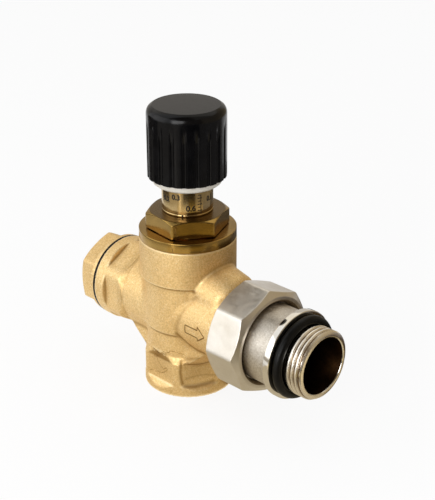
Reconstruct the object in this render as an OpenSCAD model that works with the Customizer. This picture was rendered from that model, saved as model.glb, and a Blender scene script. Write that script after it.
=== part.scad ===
// Differential bypass valve: a cast brass tee with a spring-loaded seat, a graduated
// setting knob on top, a union tailpiece on one side and a sealing plug on the other.
// Millimetres. The origin is the centre of the inlet mouth, +Z runs up the stem axis and
// +X runs out along the union tailpiece.

/* [Body casting] */
// Height of the side ports' common axis above the inlet mouth
run_h = 32; // [31:0.25:34]
// Radius of the side ports' necks
run_r = 15.2; // [14.8:0.1:15.3]
// Radius of the neck above the inlet port
neck_r = 16.3; // [15.8:0.1:16.6]
// Height above the mouth at which the waist begins
waist_foot = 26.5; // [25:0.25:28]
// Radius of the waist
waist_r = 17.2; // [17:0.1:17.8]
// Rise of the upper barrel's lower edge above the side axis
barrel_rise = 14.8; // [14:0.1:16]
// Radius of the upper barrel
barrel_r = 18.6; // [18.3:0.1:19.5]
// Height of the barrel's top face above its lower edge
barrel_h = 15; // [14.5:0.1:16]
// Radius of the raised lobe over the outlet passage
lobe_r = 11.3; // [11:0.1:11.8]
// Rise of the lobe's axis above the side axis where it leaves the barrel
lobe_rise = 10.5; // [10:0.1:11]
// Angle at which the lobe slopes down towards the outlet
lobe_tilt = 14; // [10:1:16]
// Wall between the lobe and the passage inside it
lobe_wall = 3; // [2.6:0.1:3.4]
// Half width of the web between the side ports and the inlet neck
web_half_w = 12.2; // [11:0.1:13]

/* [Inlet port] */
// Radius of the inlet port's round rim
inlet_rim_r = 17.5; // [17.2:0.1:18.5]
// Height of the round rim below the wrench flats
inlet_rim_h = 4; // [3:0.25:5]
// Distance across the inlet port's six wrench flats
inlet_flats = 32.3; // [31.5:0.1:33]
// Height of the top of the flats
inlet_flat_top = 14; // [13:0.25:15]
// Height of the sloped shoulder above the flats
inlet_shoulder = 2.8; // [2:0.1:3.5]
// Depth of the inlet's female thread
inlet_thread_l = 15; // [13:0.25:17]

/* [Rear port] */
// Distance from the stem axis to the rear port's face
rear_reach = 37; // [36:0.25:40]
// Radius of the rear port's round rim
rear_rim_r = 16.8; // [16.6:0.1:17.5]
// Width of the round rim
rear_rim_w = 5; // [4:0.25:6]
// Distance across the rear port's six wrench flats
rear_flats = 30.8; // [30.7:0.1:31.4]
// Width of the flats along the port
rear_flat_w = 8; // [7:0.25:9]
// Depth of the rear port's female thread
rear_thread_l = 13; // [12.8:0.1:13.5]

/* [Passages and seat] */
// Radius inside the female port threads, taken at their crests
port_thread_r = 12.06; // [11.8:0.02:12.3]
// Radius of the vertical inlet passage
inlet_bore_r = 10; // [9.5:0.1:10.4]
// Radius of the passage to the rear port
rear_bore_r = 9; // [8.5:0.1:9.4]
// Radius of the outlet passage and of the tailpiece's bore
outlet_bore_r = 10.77; // [10.4:0.01:11]
// Rise of the spring chamber's floor above the side axis
floor_rise = 11; // [10.8:0.1:11.4]
// Radius of the spring chamber
chamber_r = 14; // [13.6:0.1:14.3]
// Radius of the opening in the seat
seat_bore_r = 8.5; // [8:0.1:8.8]
// Width of the seat's ring
seat_land = 1.8; // [1.5:0.1:2.1]
// Height of the seat's ring above the chamber floor
seat_h = 1.5; // [1:0.1:2]

/* [Bonnet] */
// Step in from the barrel to the bonnet's round flange
flange_inset = 0.02; // [0:0.01:0.2]
// Thickness of the flange
flange_t = 3.9; // [3.4:0.1:4.4]
// Height of the narrow relief between flange and hexagon
relief_h = 0.5; // [0.3:0.1:0.8]
// Distance across the bonnet's flats
bonnet_flats = 28; // [27:0.5:29]
// Height of the bonnet's hexagon
bonnet_hex_h = 6.4; // [6:0.1:7]
// Angle of the hexagon's first corner from the outlet
bonnet_turn = -6; // [-30:1:30]
// Radius of the bonnet's threaded shank
shank_r = 15; // [14.8:0.05:15.2]
// Length of the shank below the flange
shank_l = 8.3; // [8:0.1:8.6]
// Radius of the spring bore through the bonnet
spring_bore_r = 7.6; // [7.5:0.05:7.8]
// Radius of the plain neck under the graduated sleeve
spigot_r = 8.85; // [8.7:0.05:8.95]
// Height of the plain neck above the hexagon
spigot_h = 11.9; // [11.7:0.1:12.1]
// Radius of the setting thread at the top of the neck
setting_thread_r = 8; // [7.8:0.05:8.2]
// Height of the setting thread
setting_thread_h = 18.5; // [18.3:0.1:18.7]

/* [Graduated sleeve] */
// Outer radius of the graduated sleeve
sleeve_r = 9.71; // [9.5:0.01:9.8]
// Height of the graduated sleeve
sleeve_h = 11.9; // [11:0.1:11.9]

/* [Knob] */
// Largest radius of the knob
knob_r = 14.85; // [14.6:0.05:15.5]
// Height of the knob's skirt edge above the bonnet's hexagon
knob_gap = 13.45; // [13.2:0.05:13.8]
// Height of the knob
knob_h = 27.4; // [27.2:0.1:29]
// Radius of the knob's flat top
knob_top_r = 12.76; // [12:0.02:13.2]
// Drop of the rounded edge from the top to the side
knob_edge_drop = 1.5; // [1.2:0.1:2.2]
// Number of grip grooves
grooves = 20; // [16:1:24]
// Radius of each grip groove
groove_r = 0.95; // [0.8:0.05:1.2]
// Angle of the first grip groove from the outlet
knob_turn = 6.2; // [0:0.2:18]
// Thickness of the knob's skirt between the grooves and the insert
knob_skirt_t = 2.5; // [2.2:0.1:2.7]
// Radius of the insert's index collar below the knob
index_r = 13; // [12.6:0.05:13.6]
// Height of the index collar
index_h = 2.85; // [2.4:0.05:3]

/* [Plunger and valve disc] */
// Radius of the plunger's rod
plunger_r = 5; // [4.8:0.05:5.2]
// Radius of the plunger's spring plate
plate_r = 7.3; // [7:0.05:7.4]
// Thickness of the spring plate
plate_t = 2; // [1.6:0.1:2.4]
// Radius of the disc's stem
stem_r = 2.5; // [2.3:0.05:2.6]
// Radius of the disc's holder
holder_r = 11.2; // [10.9:0.1:11.6]
// Thickness of the holder
holder_t = 3.5; // [3.2:0.1:3.8]
// Thickness of the rubber seal under the holder
seal_t = 2; // [1.8:0.1:2.2]
// Mean radius of the spring
spring_r = 6; // [5.9:0.05:6.1]
// Radius of the spring's wire
wire_r = 0.8; // [0.7:0.02:0.85]
// Number of turns of the spring
spring_turns = 9; // [7:1:12]

/* [Union] */
// Distance across the eight flats of the union nut
nut_flats = 38.5; // [38:0.1:40]
// Length of the union nut
nut_l = 15.3; // [15:0.1:16]
// Thickness of the nut's inward lip
nut_lip_t = 3; // [2.8:0.1:3.4]
// Radius of the opening in the lip
nut_bore_r = 15.4; // [15.2:0.02:15.6]
// Radius of the nut's flat front face
nut_face_r = 17.9; // [17.5:0.1:18.4]
// Angle of the nut at rest about its axis
nut_turn = 1.5; // [0:0.5:45]
// Radius of the union thread on the body
union_thread_r = 17.3; // [17.1:0.05:17.5]
// Length of the union thread on the body
union_thread_l = 6.8; // [6.4:0.1:7.2]
// Distance from the stem axis to the body's outlet face
outlet_reach = 37; // [36.6:0.1:38.5]
// Thickness of the flat gasket in the union
union_gasket_t = 1.5; // [1.3:0.1:1.7]

/* [Tailpiece] */
// Radius of the tailpiece's sleeve
tail_r = 14.9; // [14.6:0.02:15]
// Length of the sleeve from the gasket to the collar
tail_sleeve_l = 16; // [15.5:0.1:18]
// Radius of the collar
collar_r = 16.95; // [16.5:0.05:17.5]
// Width of the collar
collar_w = 2.8; // [2.4:0.05:3.2]
// Length of the groove that holds the sealing ring
tail_groove_l = 4.8; // [4.2:0.05:5.2]
// Radius of the bottom of that groove
tail_groove_r = 12.3; // [12.1:0.05:12.4]
// Radius of the sealing ring's section
tail_ring_wire_r = 1.77; // [1.6:0.01:1.85]
// Outer radius of the male outlet thread
outlet_thread_r = 13.22; // [13:0.02:13.4]
// Length of the straight part of the male outlet thread
outlet_thread_l = 5.6; // [5:0.1:7]
// Length of the chamfer that leads into the thread
outlet_lead = 1; // [0.6:0.1:1.2]

/* [Rear plug] */
// Distance across the plug's flats
plug_flats = 28; // [27:0.5:29]
// Length of the plug's hexagon
plug_hex_l = 7.8; // [7:0.1:9]
// Thickness of the round flange behind the hexagon
plug_flange_t = 2.2; // [1.8:0.1:2.6]
// Radius of the round flange
plug_flange_r = 16.5; // [16.3:0.05:16.7]
// Radius of the plug's gasket
plug_gasket_r = 16.7; // [16.4:0.05:16.9]
// Thickness of the plug's gasket
plug_gasket_t = 1; // [0.8:0.1:1.4]
// Length of the plug's thread below its flange
plug_thread_l = 12.5; // [12:0.1:12.7]
// Radius of the hollow inside the plug
plug_hollow_r = 8.3; // [8:0.1:9]

/* [Fits] */
// Radial clearance between a thread or sliding piece and its hole
run_fit = 0.05; // [0.03:0.01:0.08]
// Radial clearance between the insert and the graduated sleeve
sleeve_fit = 0.29; // [0.2:0.01:0.35]
// Clearance round a rubber ring in its groove
ring_fit = 0.08; // [0.05:0.01:0.12]
// Radial clearance between the knob and its insert
insert_fit = 0.05; // [0.03:0.01:0.08]

/* [Hidden] */
$fn = 96;

// Overrun of the cuts, and the break on machined edges
over = 0.5;
edge = 0.4;
// Sides of a wrench hexagon and of the union nut
hex_sides = 6;
nut_sides = 8;

// Heights up the stem axis
barrel_foot = run_h + barrel_rise;
barrel_top = barrel_foot + barrel_h;
floor_z = run_h + floor_rise;
seat_z = floor_z + seat_h;
flange_r = barrel_r - flange_inset;
flange_top = barrel_top + flange_t;
hex_foot = flange_top + relief_h;
hex_top = hex_foot + bonnet_hex_h;
shank_foot = barrel_top - shank_l;
spigot_top = hex_top + spigot_h;
neck_top = spigot_top + setting_thread_h;
knob_foot = hex_top + knob_gap;
knob_top = knob_foot + knob_h;
index_foot = knob_foot - index_h;

// Body sections
inlet_shoulder_top = inlet_flat_top + inlet_shoulder;
column_wall = 2.3;
seat_column_wall = 2.5;
bore_taper_h = 4;
web_flare = 0.925;
web_top_drop = 8;
lobe_edge_r = 5;
outlet_core_x = 9;
flat_cut_w = 24;
flat_cut_t = 6;
thread_runout = 0.75;

// Bonnet seal, which lies in a counterbore round the shank
bonnet_seal_wire_r = 0.75;
bonnet_seal_room = 2 * (bonnet_seal_wire_r + ring_fit);

// Bonnet bores
shank_bore_r = 12;
shank_bore_l = 6.5;
shank_taper_h = 2;
spigot_shoulder_t = 1;
plunger_bore_foot = spigot_top - spigot_shoulder_t;

// Travel clip near the top of the neck
clip_t = 1;
clip_reach = 1;
clip_depth = 0.7;
clip_gap = 0.1;
clip_play = 0.05;
clip_slot_w = 5;

// Knob insert
insert_r = knob_r - knob_skirt_t;
insert_top_t = 1;
knob_top_t = 1.45;
insert_top = knob_top - knob_top_t;
insert_roof = insert_top - insert_top_t;
insert_bore_r = sleeve_r + sleeve_fit;
setting_travel = 7.5;
travel_room = 0.3;
clip_drop = 2;
clip_room = 0.4;
insert_thread_foot = spigot_top + setting_travel + travel_room;
insert_thread_top = neck_top - clip_drop;
clip_room_r = setting_thread_r + clip_reach + clip_room;

// Plunger
plunger_drop = 5.5;
plunger_foot = spigot_top - plunger_drop;
plunger_guide_top = neck_top;
seal_wire_r = 0.55;
seal_groove_w = 1.4;
seal_drop = 3;
seal_pitch = 3;
seal_places = [for (i = [0:1]) neck_top - seal_drop - seal_pitch * i];

// Valve disc
hub_r = 4.5;
hub_h = 2;
holder_lip = 0.6;
washer_r = 7.4;
washer_t = 1.2;
stem_nut_flats = 7;
stem_nut_t = 2.8;
stem_tail = 0.5;
disc_z = seat_z + seal_t;
holder_top = disc_z + holder_t;
stem_room = 12.5;
stem_top = neck_top - stem_room;

// Spring
spring_steps = 14;
spring_sides = 8;
dead_turns = 1;
spring_z0 = holder_top + wire_r;
spring_z1 = plunger_foot - wire_r;

// Union
gasket_x = outlet_reach;
tail_x = gasket_x + union_gasket_t;
collar_x = tail_x + tail_sleeve_l;
groove_x = collar_x + collar_w;
thread_x = groove_x + tail_groove_l;
thread_end_x = thread_x + outlet_thread_l;
tail_end_x = thread_end_x + outlet_lead;
snap_t = 1.3;
snap_clear = 0.4;
snap_r = union_thread_r - snap_clear;
snap_depth = 0.75;
snap_slot_w = 8;
snap_inset = 1.45;
snap_x = tail_x + snap_inset;
nut_front_x = snap_x + snap_t + run_fit + nut_lip_t;
nut_back_x = nut_front_x - nut_l;
lobe_nut_gap = 1.4;
lobe_l = nut_back_x - lobe_nut_gap - barrel_r;
gasket_out_r = 15.2;
gasket_clear = 0.25;
gasket_in_r = outlet_bore_r + gasket_clear;
nut_foot_inset = 0.5;

// Rear plug
plug_seat_x = rear_reach + plug_gasket_t;
plug_gasket_in_r = 13.3;
plug_roof_t = 5;

// Points of an arc, for the outlines that are revolved
function arc(cx, cy, r, a0, a1, steps) =
    [for (i = [0:steps]) let (a = a0 + (a1 - a0) * i / steps) [cx + r * cos(a), cy + r * sin(a)]];

// Corner radius of a prism with this distance across its flats
function corner_r(flats, sides) = flats / 2 / cos(180 / sides);

// Children built along +Z are laid along +X at this distance from the stem axis
module along_run(x) {
    translate([x, 0, run_h]) rotate([0, 90, 0]) children();
}

// Children built along +Z are laid along -X at this distance from the stem axis
module along_rear(x) {
    translate([-x, 0, run_h]) rotate([0, -90, 0]) children();
}

// Flat ring with square edges
module ring(out_r, in_r, h) {
    difference() {
        cylinder(r = out_r, h = h);
        translate([0, 0, -over]) cylinder(r = in_r, h = h + 2 * over);
    }
}

// Rubber ring of round section, centred on its plane
module round_ring(mid_r, wire) {
    rotate_extrude() translate([mid_r, 0]) circle(r = wire, $fn = 48);
}

// Rubber ring that fills the room between a groove's bottom and the wall round it
module seal_in_room(in_r, out_r) {
    wire = (out_r - in_r) / 2 - ring_fit;
    round_ring((in_r + out_r) / 2, wire);
}

// Open spring ring with a slot for fitting it
module open_ring(out_r, in_r, t, slot_w) {
    difference() {
        ring(out_r, in_r, t);
        translate([0, -slot_w / 2, -over]) cube([out_r + over, slot_w, t + 2 * over]);
    }
}

// Prism with turned crowns: face_r is the radius of each turned end face, or 0 for a sharp end
module crowned_prism(flats, sides, h, foot_face_r, top_face_r) {
    big_r = corner_r(flats, sides) + over;
    foot_r = foot_face_r == 0 ? big_r : foot_face_r;
    top_r = top_face_r == 0 ? big_r : top_face_r;
    foot_h = (big_r - foot_r) * tan(30);
    top_h = (big_r - top_r) * tan(30);
    intersection() {
        cylinder(r = corner_r(flats, sides), h = h, $fn = sides);
        rotate_extrude()
            polygon([[0, 0], [foot_r, 0], [big_r, foot_h], [big_r, h - top_h], [top_r, h], [0, h]]);
    }
}

// Blocks that cut wrench flats into a round boss
module flat_cuts(flats, z0, z1) {
    for (i = [0:hex_sides - 1])
        rotate([0, 0, 360 / hex_sides * (i + 0.5)])
            translate([flats / 2, -flat_cut_w / 2, z0]) cube([flat_cut_t, flat_cut_w, z1 - z0]);
}

// Vertical column of the casting: inlet port, neck, waist and barrel
module body_column() {
    difference() {
        rotate_extrude() polygon([
            [0, 0], [inlet_rim_r - edge, 0], [inlet_rim_r, edge], [inlet_rim_r, inlet_flat_top],
            [neck_r, inlet_shoulder_top], [neck_r, waist_foot], [waist_r, waist_foot + edge],
            [waist_r, barrel_foot], [barrel_r, barrel_foot + edge], [barrel_r, barrel_top - edge],
            [barrel_r - edge, barrel_top], [0, barrel_top]]);
        flat_cuts(inlet_flats, inlet_rim_h, inlet_shoulder_top);
    }
}

// Rear port with its round rim and wrench flats
module rear_port() {
    flats_x = rear_reach - rear_rim_w;
    difference() {
        along_rear(0) rotate_extrude() polygon([
            [0, 0], [run_r, 0], [run_r, flats_x - rear_flat_w], [rear_rim_r, flats_x - rear_flat_w],
            [rear_rim_r, rear_reach - edge], [rear_rim_r - edge, rear_reach], [0, rear_reach]]);
        along_rear(0) flat_cuts(rear_flats, flats_x - rear_flat_w, flats_x);
    }
}

// Outlet neck with the male union thread at its end
module outlet_neck() {
    thread_foot = outlet_reach - union_thread_l;
    along_run(0) rotate_extrude() polygon([
        [0, 0], [run_r, 0], [run_r, thread_foot], [union_thread_r - thread_runout, thread_foot],
        [union_thread_r, thread_foot + thread_runout], [union_thread_r, outlet_reach - thread_runout],
        [union_thread_r - thread_runout, outlet_reach], [0, outlet_reach]]);
}

// Rounded boss along the sloping outlet passage; inset shrinks it to the passage itself
module lobe(inset, start_x) {
    r = lobe_r - inset;
    end = lobe_l - inset;
    round_r = lobe_edge_r;
    translate([barrel_r, 0, run_h + lobe_rise]) rotate([0, 90 + lobe_tilt, 0]) rotate_extrude()
        polygon(concat([[0, start_x - barrel_r], [r, start_x - barrel_r]],
                       arc(r - round_r, end - round_r, round_r, 0, 90, 8), [[0, end]]));
}

// Cone that webs both side ports to the inlet neck, cut to the web's width
module web() {
    web_h = run_h - web_top_drop - inlet_flat_top;
    intersection() {
        rotate_extrude() polygon([
            [0, inlet_flat_top], [neck_r, inlet_flat_top], [neck_r + web_flare * web_h, inlet_flat_top + web_h],
            [0, inlet_flat_top + web_h]]);
        translate([-rear_reach, -web_half_w, 0]) cube([2 * rear_reach, 2 * web_half_w, run_h]);
    }
}

// Space up the stem axis: inlet thread, inlet column, seat opening, chamber and bonnet thread
module stem_space() {
    seal_room_foot = barrel_top - bonnet_seal_room;
    rotate_extrude() polygon([
        [0, -over], [port_thread_r, -over], [port_thread_r, inlet_thread_l], [inlet_bore_r, inlet_thread_l],
        [inlet_bore_r, run_h], [seat_bore_r, run_h + bore_taper_h], [seat_bore_r, seat_z],
        [seat_bore_r + seat_land, seat_z], [seat_bore_r + seat_land, floor_z], [chamber_r, floor_z],
        [chamber_r, shank_foot - over], [shank_r + run_fit, shank_foot - over],
        [shank_r + run_fit, seal_room_foot], [shank_r + bonnet_seal_room, seal_room_foot],
        [shank_r + bonnet_seal_room, barrel_top + over], [0, barrel_top + over]]);
}

// Space through the rear port
module rear_space() {
    along_rear(0) cylinder(r = rear_bore_r, h = rear_reach);
    along_rear(rear_reach - rear_thread_l) cylinder(r = port_thread_r, h = rear_thread_l + over);
}

// Space from the chamber out through the union, kept clear of the inlet column's wall
module outlet_space() {
    difference() {
        union() {
            along_run(outlet_core_x) cylinder(r = outlet_bore_r, h = outlet_reach - outlet_core_x + over);
            lobe(lobe_wall, outlet_core_x);
        }
        rotate_extrude() polygon([
            [0, 0], [inlet_bore_r + column_wall, 0], [inlet_bore_r + column_wall, run_h],
            [seat_bore_r + seat_column_wall, run_h + bore_taper_h], [seat_bore_r + seat_column_wall, floor_z],
            [0, floor_z]]);
    }
}

module valve_body() {
    color("burlywood") difference() {
        union() {
            body_column();
            rear_port();
            outlet_neck();
            lobe(0, 0);
            web();
        }
        stem_space();
        rear_space();
        outlet_space();
    }
}

module bonnet() {
    color("peru") difference() {
        union() {
            rotate_extrude() polygon([
                [0, shank_foot], [shank_r - thread_runout, shank_foot], [shank_r, shank_foot + thread_runout],
                [shank_r, barrel_top], [flange_r - edge, barrel_top], [flange_r, barrel_top + edge],
                [flange_r, flange_top - edge], [flange_r - edge, flange_top],
                [bonnet_flats / 2 - relief_h, flange_top], [bonnet_flats / 2 - relief_h, hex_foot + edge],
                [spigot_r, hex_foot + edge], [spigot_r, spigot_top],
                [setting_thread_r, spigot_top], [setting_thread_r, neck_top - edge],
                [setting_thread_r - edge, neck_top], [0, neck_top]]);
            translate([0, 0, hex_foot]) rotate([0, 0, bonnet_turn])
                crowned_prism(bonnet_flats, hex_sides, bonnet_hex_h, 0, bonnet_flats / 2 + edge);
        }
        rotate_extrude() polygon([
            [0, shank_foot - over], [shank_bore_r, shank_foot - over], [shank_bore_r, shank_foot + shank_bore_l],
            [spring_bore_r, shank_foot + shank_bore_l + shank_taper_h], [spring_bore_r, plunger_bore_foot],
            [plunger_r + run_fit, plunger_bore_foot], [plunger_r + run_fit, neck_top + over],
            [0, neck_top + over]]);
        translate([0, 0, insert_thread_top + clip_gap])
            ring(setting_thread_r + over, setting_thread_r - clip_depth, clip_t + 2 * clip_play);
    }
}

module bonnet_seal() {
    color("black") translate([0, 0, barrel_top - bonnet_seal_room / 2])
        seal_in_room(shank_r, shank_r + bonnet_seal_room);
}

module scale_sleeve() {
    color("tan") translate([0, 0, hex_top]) rotate_extrude() polygon([
        [spigot_r + run_fit, 0], [sleeve_r - edge, 0], [sleeve_r, edge], [sleeve_r, sleeve_h - edge],
        [sleeve_r - edge, sleeve_h], [spigot_r + run_fit, sleeve_h]]);
}

module travel_clip() {
    color("silver") translate([0, 0, insert_thread_top + clip_gap + clip_play])
        open_ring(setting_thread_r + clip_reach, setting_thread_r - clip_depth + run_fit, clip_t, clip_slot_w);
}

module plunger() {
    color("goldenrod") difference() {
        rotate_extrude() polygon([
            [stem_r + run_fit, plunger_foot], [plate_r, plunger_foot], [plate_r, plunger_foot + plate_t],
            [plunger_r, plunger_foot + plate_t], [plunger_r, insert_roof - edge],
            [plunger_r - edge, insert_roof], [0, insert_roof], [0, plunger_guide_top],
            [stem_r + run_fit, plunger_guide_top]]);
        for (z = seal_places)
            translate([0, 0, z - seal_groove_w / 2])
                ring(plunger_r + over, plunger_r - 2 * (seal_wire_r + ring_fit), seal_groove_w);
    }
}

module plunger_seals() {
    color("black") for (z = seal_places)
        translate([0, 0, z]) seal_in_room(plunger_r - 2 * (seal_wire_r + ring_fit), plunger_r);
}

// Height of the spring wire's centre after u turns, with a dead turn at each end
function spring_rise(u) =
    let (live = spring_turns - 2 * dead_turns, d = 2 * wire_r, free = spring_z1 - spring_z0 - 2 * dead_turns * d)
    u < dead_turns ? d * u
    : u > spring_turns - dead_turns ? spring_z1 - spring_z0 - d * (spring_turns - u)
    : d * dead_turns + free * (u - dead_turns) / live;

// Point j of the wire's section after u turns
function wire_point(u, j) =
    let (a = 360 * u, b = 360 * j / spring_sides, r = spring_r + wire_r * cos(b))
    [r * cos(a), r * sin(a), spring_z0 + spring_rise(u) + wire_r * sin(b)];

module spring() {
    rings = spring_turns * spring_steps;
    points = [for (i = [0:rings], j = [0:spring_sides - 1]) wire_point(i / spring_steps, j)];
    sides = [for (i = [0:rings - 1], j = [0:spring_sides - 1]) let (
                a = i * spring_sides + j, b = i * spring_sides + (j + 1) % spring_sides)
                each [[a, b, a + spring_sides], [b, b + spring_sides, a + spring_sides]]];
    foot = [for (j = [spring_sides - 1:-1:0]) j];
    head = [for (j = [0:spring_sides - 1]) rings * spring_sides + j];
    color("silver") polyhedron(points = points, faces = concat(sides, [foot], [head]));
}

module stem() {
    foot = seat_z - washer_t - stem_nut_t - stem_tail;
    color("silver") translate([0, 0, foot]) rotate_extrude() polygon([
        [0, 0], [stem_r - edge, 0], [stem_r, edge], [stem_r, stem_top - foot - edge],
        [stem_r - edge, stem_top - foot], [0, stem_top - foot]]);
}

module disc_holder() {
    color("goldenrod") translate([0, 0, disc_z]) rotate_extrude() polygon([
        [stem_r, 0], [holder_r - holder_lip, 0], [holder_r - holder_lip, -seal_t / 2], [holder_r, -seal_t / 2],
        [holder_r, holder_t - edge], [holder_r - edge, holder_t], [hub_r, holder_t], [hub_r, holder_t + hub_h],
        [stem_r, holder_t + hub_h]]);
}

module disc_seal() {
    color("black") translate([0, 0, seat_z]) ring(holder_r - holder_lip, stem_r, seal_t);
}

module seal_washer() {
    color("silver") translate([0, 0, seat_z - washer_t]) ring(washer_r, stem_r, washer_t);
}

module stem_nut() {
    color("silver") translate([0, 0, seat_z - washer_t - stem_nut_t]) difference() {
        crowned_prism(stem_nut_flats, hex_sides, stem_nut_t, stem_nut_flats / 2, 0);
        translate([0, 0, -over]) cylinder(r = stem_r, h = stem_nut_t + 2 * over);
    }
}

module knob() {
    side_top = knob_h - knob_edge_drop;
    round_steps = 6;
    edge_w = knob_r - knob_top_r;
    color([0.08, 0.08, 0.09]) translate([0, 0, knob_foot]) rotate([0, 0, knob_turn]) difference() {
        rotate_extrude() polygon(concat(
            [[insert_r, 0], [knob_r - edge, 0], [knob_r, edge]],
            [for (i = [0:round_steps]) let (a = 90 * i / round_steps)
                [knob_top_r + edge_w * cos(a), side_top + knob_edge_drop * sin(a)]],
            [[0, knob_h], [0, insert_top - knob_foot], [insert_r, insert_top - knob_foot]]));
        for (i = [0:grooves - 1])
            rotate([0, 0, 360 / grooves * i]) translate([knob_r + groove_r / 3, 0, -over])
                cylinder(r = groove_r, h = side_top - groove_r + over);
    }
}

module knob_insert() {
    color("wheat") translate([0, 0, index_foot]) rotate_extrude() polygon([
        [insert_bore_r, 0], [index_r - edge, 0], [index_r, edge], [index_r, index_h],
        [insert_r - insert_fit, index_h], [insert_r - insert_fit, insert_top - index_foot], [0, insert_top - index_foot], [0, insert_roof - index_foot],
        [clip_room_r, insert_roof - index_foot], [clip_room_r, insert_thread_top - index_foot],
        [setting_thread_r + run_fit, insert_thread_top - index_foot],
        [setting_thread_r + run_fit, insert_thread_foot - index_foot],
        [insert_bore_r, insert_thread_foot - index_foot]]);
}

module union_nut() {
    inner_l = nut_l - nut_lip_t;
    color("gainsboro") along_run(nut_back_x) rotate([0, 0, nut_turn]) difference() {
        crowned_prism(nut_flats, nut_sides, nut_l, nut_flats / 2 - nut_foot_inset, nut_face_r);
        translate([0, 0, -over]) cylinder(r = union_thread_r + run_fit, h = inner_l + over);
        translate([0, 0, inner_l - over]) cylinder(r = nut_bore_r, h = nut_lip_t + 2 * over);
    }
}

module union_tail() {
    groove0 = snap_x - run_fit;
    groove1 = snap_x + snap_t + run_fit;
    color("gainsboro") along_run(0) rotate_extrude() polygon([
        [outlet_bore_r, tail_x], [tail_r, tail_x], [tail_r, groove0], [tail_r - snap_depth, groove0],
        [tail_r - snap_depth, groove1], [tail_r, groove1], [tail_r, collar_x], [collar_r - edge, collar_x],
        [collar_r, collar_x + edge], [collar_r, groove_x - edge], [collar_r - edge, groove_x],
        [tail_groove_r, groove_x], [tail_groove_r, thread_x], [outlet_thread_r - edge, thread_x],
        [outlet_thread_r, thread_x + edge], [outlet_thread_r, thread_end_x],
        [outlet_thread_r - outlet_lead, tail_end_x], [outlet_bore_r, tail_end_x]]);
}

module tail_seal_ring() {
    color("black") along_run(groove_x + tail_ring_wire_r + ring_fit)
        round_ring(tail_groove_r + tail_ring_wire_r + ring_fit / 2, tail_ring_wire_r);
}

module snap_ring() {
    color("silver") along_run(snap_x)
        open_ring(snap_r, tail_r - snap_depth + run_fit, snap_t, snap_slot_w);
}

module union_gasket() {
    color("dimgray") along_run(gasket_x) ring(gasket_out_r, gasket_in_r, union_gasket_t);
}

module rear_plug() {
    color("burlywood") along_rear(plug_seat_x) difference() {
        union() {
            translate([0, 0, -plug_thread_l])
                cylinder(r = port_thread_r - run_fit, h = plug_thread_l + over);
            rotate_extrude() polygon([
                [0, 0], [plug_flange_r - edge, 0], [plug_flange_r, edge], [plug_flange_r, plug_flange_t - edge],
                [plug_flange_r - edge, plug_flange_t], [0, plug_flange_t]]);
            translate([0, 0, plug_flange_t - over])
                crowned_prism(plug_flats, hex_sides, plug_hex_l + over, 0, plug_flats / 2 + edge);
        }
        translate([0, 0, -plug_thread_l - over])
            cylinder(r = plug_hollow_r, h = plug_thread_l + plug_flange_t + plug_hex_l - plug_roof_t + over);
    }
}

module plug_gasket() {
    color("black") along_rear(rear_reach) rotate_extrude() polygon([
        [plug_gasket_in_r, 0], [plug_gasket_r, 0], [plug_gasket_r, plug_gasket_t],
        [plug_gasket_in_r, plug_gasket_t]]);
}

valve_body();
bonnet();
bonnet_seal();
scale_sleeve();
travel_clip();
plunger();
plunger_seals();
spring();
stem();
disc_holder();
disc_seal();
seal_washer();
stem_nut();
knob();
knob_insert();
union_nut();
union_tail();
tail_seal_ring();
snap_ring();
union_gasket();
rear_plug();
plug_gasket();
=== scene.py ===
"""Dresses the bypass valve: its cast body with fillets, turned and threaded pieces, scale and finishes."""
import math

import bpy
import numpy as np
from mathutils import Matrix, Vector


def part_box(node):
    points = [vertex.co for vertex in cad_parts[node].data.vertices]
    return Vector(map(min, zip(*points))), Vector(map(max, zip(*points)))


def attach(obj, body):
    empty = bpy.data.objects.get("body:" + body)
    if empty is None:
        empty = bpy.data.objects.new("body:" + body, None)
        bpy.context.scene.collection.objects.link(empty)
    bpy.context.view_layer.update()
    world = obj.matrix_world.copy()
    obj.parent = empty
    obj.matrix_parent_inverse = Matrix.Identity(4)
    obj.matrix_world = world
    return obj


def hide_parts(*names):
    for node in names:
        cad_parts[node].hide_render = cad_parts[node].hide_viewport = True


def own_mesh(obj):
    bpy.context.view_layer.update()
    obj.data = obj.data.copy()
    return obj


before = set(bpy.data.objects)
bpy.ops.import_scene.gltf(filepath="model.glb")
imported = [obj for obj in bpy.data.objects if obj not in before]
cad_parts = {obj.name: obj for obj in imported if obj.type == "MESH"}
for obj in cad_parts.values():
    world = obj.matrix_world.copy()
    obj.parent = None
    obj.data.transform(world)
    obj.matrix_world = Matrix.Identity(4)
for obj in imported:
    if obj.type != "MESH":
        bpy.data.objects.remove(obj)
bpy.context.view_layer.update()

# Sizes below are in millimetres, and the meshes are made in metres
MM = 0.001
TAU = 2 * math.pi


def node_span(node, axis):
    """Lowest and highest place of a CAD node along an axis, in millimetres."""
    low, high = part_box(node)
    return low[axis] / MM, high[axis] / MM


def node_radius(node, axis):
    """Half of a CAD node's width across an axis, in millimetres."""
    low, high = node_span(node, axis)
    return (high - low) / 2


# Heights and reaches taken from the frame
tail_low, tail_high = node_span("union_tail", 2)
run_z = (tail_low + tail_high) / 2
knob_foot, knob_top = node_span("knob", 2)
insert_foot = node_span("knob_insert", 2)[0]
sleeve_foot, sleeve_top = node_span("scale_sleeve", 2)
bonnet_foot, neck_top = node_span("bonnet", 2)
barrel_top = node_span("valve_body", 2)[1]
rear_face = -node_span("valve_body", 0)[0]
outlet_face = node_span("valve_body", 0)[1]
nut_back, nut_front = node_span("union_nut", 0)
tail_start, tail_end = node_span("union_tail", 0)
plug_end = -node_span("rear_plug", 0)[0]

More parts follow.
